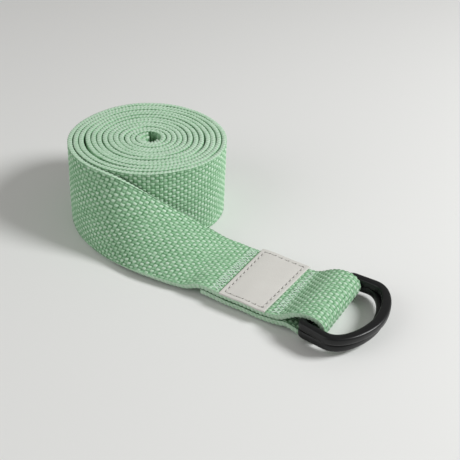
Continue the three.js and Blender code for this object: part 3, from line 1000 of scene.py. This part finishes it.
class STRAP_OT_label(bpy.types.Operator):
    """The plain label patch with its running stitch"""

    bl_idname = "strap.label"
    bl_label = "Label"

    def execute(self, context):
        sizes, colours = context.scene.strap_sizes, context.scene.strap_colours
        along, across = sizes.label_along / MM, sizes.label_across / MM
        thick, inset = sizes.label_thick / MM, sizes.stitch_inset / MM
        self.patch(colours, along, across, thick, inset)
        self.stitches(colours, along, across, thick, inset)
        return {"FINISHED"}

    def patch(self, colours, along, across, thick, inset):
        bm = bmesh.new()
        columns, rows = LABEL_GRID
        bmesh.ops.create_grid(bm, x_segments=columns, y_segments=rows, size=0.5)
        for vert in bm.verts:
            a, c = vert.co.x * along, vert.co.y * across
            near = min(along / 2 - abs(a), across / 2 - abs(c))
            dip = STITCH_DENT[0] * math.exp(-(((near - inset) / STITCH_DENT[1]) ** 2))
            crown = LABEL_CROWN[0] * float(smooth_step(near, inset, inset + LABEL_CROWN[1]))
            soft = LABEL_SOFT_EDGE[0] * (1 - float(smooth_step(near, 0, LABEL_SOFT_EDGE[1])))
            top = PANEL_SINK + thick + dip + crown + soft
            vert.co = (on_panel(a, c, top) + Vector(ORIGIN)) * MM
        bmesh.ops.recalc_face_normals(bm, faces=bm.faces)
        if sum(face.normal.z for face in bm.faces) < 0:
            bmesh.ops.reverse_faces(bm, faces=bm.faces)
        bmesh.ops.solidify(bm, geom=bm.faces, thickness=thick * MM)
        bmesh.ops.recalc_face_normals(bm, faces=bm.faces)
        rim = [e for e in bm.edges if len(e.link_faces) == 2 and e.calc_face_angle() > 1.0]
        bmesh.ops.bevel(
            bm, geom=rim, offset=LABEL_BEVEL * MM, affect="EDGES", segments=2, profile=0.5,
            material=-1,
        )
        piece = stitched_piece("label_leather_patch", bm)
        finish_piece(piece, label_finish(colours), "label", "strap", "label_patch")

    def stitches(self, colours, along, across, thick, inset):
        half_along, half_across = along / 2 - inset, across / 2 - inset
        thread, holes = bmesh.new(), bmesh.new()
        top = PANEL_SINK + thick - LABEL_THREAD_SINK
        for count, half, offset, lengthwise in (
            (LABEL_STITCHES[0], half_along, half_across, True),
            (LABEL_STITCHES[1], half_across, half_along, False),
        ):
            pitch = 2 * half / count
            for side in (-1, 1):
                for k in range(count):
                    at = (k + 0.5) * pitch - half
                    point = (at, side * offset) if lengthwise else (side * offset, at)
                    way = PANEL_WAY if lengthwise else Vector((0, 1, 0))
                    centre = on_panel(*point, top)
                    length = LABEL_STITCH_SHARE * pitch
                    stitch(thread, centre, way, length, *LABEL_HALF_STITCH, PANEL_UP)
                    for end in (-1, 1):
                        hole = centre + way * end * NEEDLE_HOLE_SHARE * pitch
                        hole -= PANEL_UP * NEEDLE_HOLE_SINK
                        stitch(holes, hole, way, *NEEDLE_HOLE, PANEL_UP)
        piece = stitched_piece("label_running_stitch", thread)
        finish = thread_finish(
            "label_thread", tuple(colours.stitch), tuple(0.6 * c for c in colours.stitch)
        )
        finish_piece(piece, finish, "label_thread", "strap", "label_stitching")
        # Dark grains at both ends of each stitch, painted shade for the needle holes.
        piece = stitched_piece("label_needle_hole_shades", holes)
        finish = plain_finish("needle_hole_shade", NEEDLE_HOLE_SHADE, 0.9)
        finish_piece(piece, finish, "label", "strap")


# ------------------------------------------------------------------ rings

RING_REACH = 28.8
RING_SHOULDER = 14.0 - BAR_INSET
RING_BOW_WIDTH = 4.6
RING_FULLNESS = 0.62
RING_OUTER_HALF = 24.0
RING_INNER_HALF = 20.0
BAR_HALF_DEPTH = 1.55
BAR_STRAIGHT = 18.4
OUTER_CORNER = (2.3, 18.8, 4.2)    # middle and radius of the corner between bar and arm
INNER_CORNER = (2.75, 18.4, 1.1)
BOW_SQUARENESS = 1.6               # the arms and bow have a squarer section than the bar
BOW_FROM = (17.5, 2, 2.5)          # half width and reach where the bar ends, and the change
RING_SECTION_POINTS = 33


def bezier(points, t):
    """Points at t on the cubic curve with these four control points."""
    p0, p1, p2, p3 = (np.array(p)[None] for p in points)
    t = t[:, None]
    s = 1 - t
    return s ** 3 * p0 + 3 * s * s * t * p1 + 3 * s * t * t * p2 + t ** 3 * p3


def ring_outline():
    """Outer and inner outline of half a ring, from the bar's middle to the bow's middle."""
    right = RING_REACH - BAR_INSET
    inner_right = right - RING_BOW_WIDTH
    bar = np.linspace(0, BAR_STRAIGHT, 10)
    turn = np.radians(np.linspace(180, 90, 14)[1:])
    arm = np.linspace(0, 1, 9)[1:, None]
    t = np.linspace(0, 1, 33)[1:]
    outlines = []
    for bar_x, corner, half, end in (
        (-BAR_HALF_DEPTH, OUTER_CORNER, RING_OUTER_HALF, right),
        (BAR_HALF_DEPTH, INNER_CORNER, RING_INNER_HALF, inner_right),
    ):
        x, y, radius = corner
        corner = np.stack([x + radius * np.cos(turn), y + radius * np.sin(turn)], 1)
        out = RING_SHOULDER + RING_FULLNESS * (end - RING_SHOULDER)
        outlines.append(np.vstack([
            np.stack([bar_x + 0 * bar, bar], 1),
            corner,
            corner[-1] * (1 - arm) + np.array([RING_SHOULDER, half]) * arm,
            bezier(
                [(RING_SHOULDER, half), (out, half), (end, (1 - RING_FULLNESS) * half), (end, 0)],
                t,
            ),
        ]))
    return outlines


def eased_outline(points, passes=2):
    """The outline with its corners softened, and its two ends left in place."""
    for _ in range(passes):
        inside = (points[:-2] + 2 * points[1:-1] + points[2:]) / 4
        points = np.vstack([points[:1], inside, points[-1:]])
    return points


def ring_sections():
    """Place of each section point of a whole ring, in the ring's own frame."""
    outer, inner = (eased_outline(side) for side in ring_outline())
    mirror = np.array([1, -1])
    outer = np.vstack([outer, (outer * mirror)[-2::-1]])
    inner = np.vstack([inner, (inner * mirror)[-2::-1]])
    middle, half = (outer + inner) / 2, (outer - inner) / 2
    past_bar = np.maximum(np.abs(middle[:, 1]) - BOW_FROM[0], middle[:, 0] - BOW_FROM[1])
    bow = smooth_step(past_bar, 0, BOW_FROM[2])
    high = BAR_RADIUS + (RING_THICK / 2 - BAR_RADIUS) * bow
    angle = np.linspace(0, 2 * np.pi, RING_SECTION_POINTS)
    power = (2 / (2 + BOW_SQUARENESS * bow))[:, None]
    cosine, sine = np.cos(angle)[None], np.sin(angle)[None]
    wide = np.sign(cosine) * np.abs(cosine) ** power
    tall = np.sign(sine) * np.abs(sine) ** power
    place = np.zeros((len(middle), len(angle), 3))
    place[..., :2] = middle[:, None] + half[:, None] * wide[..., None]
    place[..., 2] = high[:, None] * tall
    return place


class STRAP_OT_rings(bpy.types.Operator):
    """The two stacked D-rings"""

    bl_idname = "strap.rings"
    bl_label = "D-rings"

    def execute(self, context):
        nylon = made_once("moulded_nylon", lambda: ring_finish(context.scene.strap_colours))
        for name, node, body, (x, z), yaw in (
            ("lower_ring_moulding", "lower_d_ring", "lower_ring", LOWER_BAR, 0.0),
            ("upper_ring_moulding", "upper_d_ring", "upper_ring", UPPER_BAR, UPPER_RING_YAW),
        ):
            turn = np.array(Matrix.Rotation(yaw, 3, "Z"))
            place = ring_sections() @ turn.T + np.array([x, TAIL_Y, z])
            ring = bent_grid(name, place, close_along=True)
            finish_piece(ring, nylon, "ring", body, node)
        return {"FINISHED"}


# ------------------------------------------------------------------ stage

CAMERA_PLACE = (0.16288, -0.28731, 0.22905)
CAMERA_TURN = math.radians(29.2)
CAMERA_TILT = math.radians(33.71)
CAMERA_ROLL = math.radians(2.88)
SENSOR_WIDTH = 36
CAMERA_REACH = (0.01, 20)
FLOOR_SIZE = 4
ROOM_COLOUR = (1.0, 0.972, 0.94, 1)
ROOM_STRENGTH = 0.28
LIGHTS_AIM = (0, 0, 0.02)
# Name, place, size in metres, watts, colour.
LIGHTS = (
    ("key", (0.75, 0.37, 0.705), 0.36, 10.6, (0.985, 0.998, 1.0)),
    ("fill", (-0.5, -0.8, 0.55), 1.0, 3.0, (0.98, 1.0, 0.99)),
)


def aimed(place, target):
    """A matrix at place that looks at target."""
    place = Vector(place)
    turn = (place - Vector(target)).to_track_quat("Z", "Y")
    return Matrix.Translation(place) @ turn.to_matrix().to_4x4()


class STRAP_OT_stage(bpy.types.Operator):
    """Pale floor, soft lights and the camera"""

    bl_idname = "strap.stage"
    bl_label = "Stage"

    def execute(self, context):
        self.floor(context)
        self.lights(context)
        self.camera(context)
        return {"FINISHED"}

    def floor(self, context):
        bm = bmesh.new()
        bmesh.ops.create_grid(bm, x_segments=1, y_segments=1, size=FLOOR_SIZE)
        floor = stitched_piece("floor", bm)
        finish = Finish("pale_floor")
        soft = finish.noise(finish.object_place(), 8.0)
        pale = tuple(context.scene.strap_colours.floor)
        tone = finish.mix(soft * 0.25, pale, tuple(0.97 * c for c in pale))
        floor.data.materials.append(finish.set(Base_Color=tone, Roughness=0.6))

    def lights(self, context):
        world = bpy.data.worlds.new("studio")
        context.scene.world = world
        world.use_nodes = True
        backdrop = world.node_tree.nodes["Background"]
        backdrop.inputs["Color"].default_value = ROOM_COLOUR
        backdrop.inputs["Strength"].default_value = ROOM_STRENGTH
        for name, place, size, power, colour in LIGHTS:
            light = bpy.data.lights.new(name, "AREA")
            light.shape = "DISK"
            light.size = size
            light.energy = power
            light.color = colour
            lamp = bpy.data.objects.new(name, light)
            lamp.matrix_world = aimed(place, LIGHTS_AIM)
            context.scene.collection.objects.link(lamp)

    def camera(self, context):
        turn, tilt, roll = CAMERA_TURN, CAMERA_TILT, CAMERA_ROLL
        right = Vector((math.cos(turn), math.sin(turn), 0))
        ahead = Vector((
            -math.sin(turn) * math.cos(tilt), math.cos(turn) * math.cos(tilt), -math.sin(tilt)
        ))
        up = right.cross(ahead)
        across = right * math.cos(roll) + up * math.sin(roll)
        upward = up * math.cos(roll) - right * math.sin(roll)
        data = bpy.data.cameras.new("camera")
        data.lens = context.scene.strap_sizes.camera_lens
        data.sensor_width = SENSOR_WIDTH
        data.clip_start, data.clip_end = CAMERA_REACH
        camera = bpy.data.objects.new("camera", data)
        camera.matrix_world = (
            Matrix.Translation(CAMERA_PLACE)
            @ Matrix((across, upward, -ahead)).transposed().to_4x4()
        )
        context.scene.collection.objects.link(camera)
        context.scene.camera = camera
        context.scene.view_settings.view_transform = "Standard"


# ------------------------------------------------------------------ panel and registration


class STRAP_PT_panel(bpy.types.Panel):
    """Buttons for the strap's pieces, in the order of making"""

    bl_idname = "STRAP_PT_panel"
    bl_label = "Stretching strap"
    bl_space_type = "VIEW_3D"
    bl_region_type = "UI"
    bl_category = "Strap"

    def draw(self, context):
        for operator in OPERATORS:
            self.layout.operator(operator.bl_idname)
        for group in (context.scene.strap_sizes, context.scene.strap_colours):
            for name in group.__annotations__:
                self.layout.prop(group, name)


OPERATORS = (
    STRAP_OT_stage,
    STRAP_OT_rings,
    STRAP_OT_hem,
    STRAP_OT_rolled_webbing,
    STRAP_OT_outer_webbing,
    STRAP_OT_loop_webbing,
    STRAP_OT_seams,
    STRAP_OT_label,
)
CLASSES = (StrapColours, StrapSizes, *OPERATORS, STRAP_PT_panel)


def register():
    for cls in CLASSES:
        bpy.utils.register_class(cls)
    bpy.types.Scene.strap_colours = PointerProperty(type=StrapColours)
    bpy.types.Scene.strap_sizes = PointerProperty(type=StrapSizes)


def unregister():
    del bpy.types.Scene.strap_sizes
    del bpy.types.Scene.strap_colours
    for cls in reversed(CLASSES):
        bpy.utils.unregister_class(cls)


def main():
    register()
    bpy.ops.strap.stage()
    bpy.ops.strap.rings()
    bpy.ops.strap.hem()
    bpy.ops.strap.rolled_webbing()
    bpy.ops.strap.outer_webbing()
    bpy.ops.strap.loop_webbing()
    bpy.ops.strap.seams()
    bpy.ops.strap.label()


if __name__ == "__main__":
    main()
